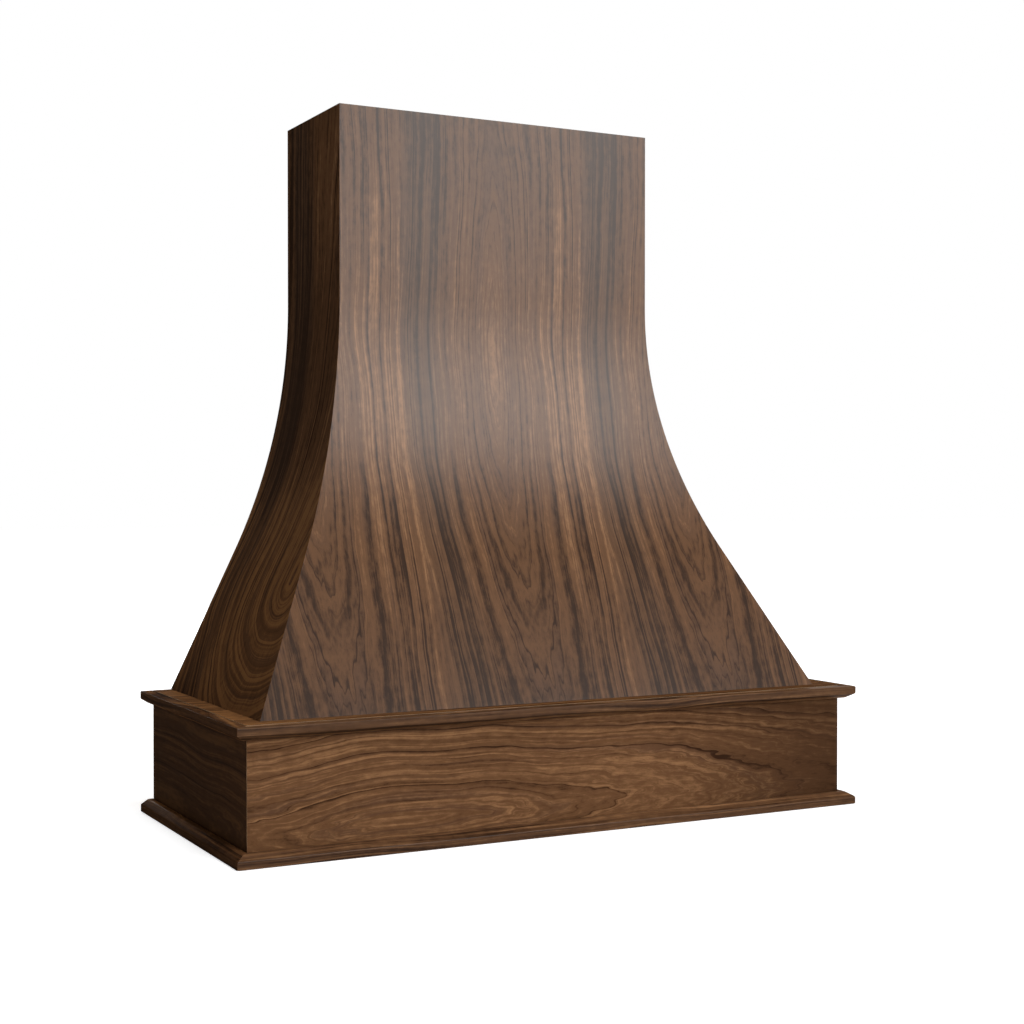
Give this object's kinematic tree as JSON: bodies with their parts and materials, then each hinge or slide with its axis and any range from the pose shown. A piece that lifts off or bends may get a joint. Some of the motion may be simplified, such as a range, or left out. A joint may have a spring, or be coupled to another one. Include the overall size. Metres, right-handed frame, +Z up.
{
  "type": "range hood cover",
  "caption": "Wall-hung wooden cover for a cooker hood: a flared plywood chimney over ribs and stiles, on a mitred box with moulded edges, open inside for an extractor insert and its duct.",
  "frame": {"origin": "level with the bottom rim, in the middle of the overall width and depth", "axes": "+Z up the chimney, +Y towards the wall that the back lies against, +X to the right as seen from the front"},
  "size_m": [1.1112, 0.5048, 1.1684],
  "materials": {
    "walnut_veneer_ply": "walnut veneer with a clear satin lacquer, grain upright on the chimney and level on the box",
    "walnut": "solid walnut with a clear satin lacquer, grain along the moulding",
    "birch_ply": "bare sanded birch plywood with its layers showing at the edges",
    "poplar": "bare planed poplar",
    "zinc": "zinc plated"
  },
  "bodies": {
    "root": {"back_stile_left": "birch_ply", "back_stile_right": "birch_ply", "bottom_moulding_front": "walnut", "bottom_moulding_left": "walnut", "bottom_moulding_right": "walnut", "box_back_board": "birch_ply", "box_front_board": "walnut_veneer_ply", "box_left_board": "walnut_veneer_ply", "box_right_board": "walnut_veneer_ply", "chimney_front_skin": "walnut_veneer_ply", "chimney_left_skin": "walnut_veneer_ply", "chimney_right_skin": "walnut_veneer_ply", "cleat_screw_1": "zinc", "cleat_screw_2": "zinc", "cleat_screw_3": "zinc", "cleat_screw_4": "zinc", "cleat_screw_5": "zinc", "cleat_screw_6": "zinc", "cleat_screw_7": "zinc", "corner_block_back_left": "poplar", "corner_block_back_right": "poplar", "corner_block_front_left": "poplar", "corner_block_front_right": "poplar", "deck": "walnut_veneer_ply", "deck_screw_1": "zinc", "deck_screw_2": "zinc", "deck_screw_3": "zinc", "deck_screw_4": "zinc", "deck_screw_5": "zinc", "deck_screw_6": "zinc", "deck_screw_7": "zinc", "deck_screw_8": "zinc", "foot_cleat_front": "poplar", "foot_cleat_left": "poplar", "foot_cleat_right": "poplar", "front_corner_rib_left": "birch_ply", "front_corner_rib_right": "birch_ply", "front_jack_rib_left": "birch_ply", "front_jack_rib_right": "birch_ply", "front_mid_rib_left": "birch_ply", "front_mid_rib_right": "birch_ply", "glue_block_high_left": "poplar", "glue_block_high_right": "poplar", "glue_block_low_left": "poplar", "glue_block_low_right": "poplar", "hanging_rail_lower": "birch_ply", "hanging_rail_upper": "birch_ply", "liner_cleat_back": "poplar", "liner_cleat_front": "poplar", "liner_cleat_left": "poplar", "liner_cleat_right": "poplar", "side_rib_left": "birch_ply", "side_rib_right": "birch_ply", "stretcher_left": "birch_ply", "stretcher_right": "birch_ply", "top_moulding_front": "walnut", "top_moulding_left": "walnut", "top_moulding_right": "walnut"}
  },
  "joints": []
}
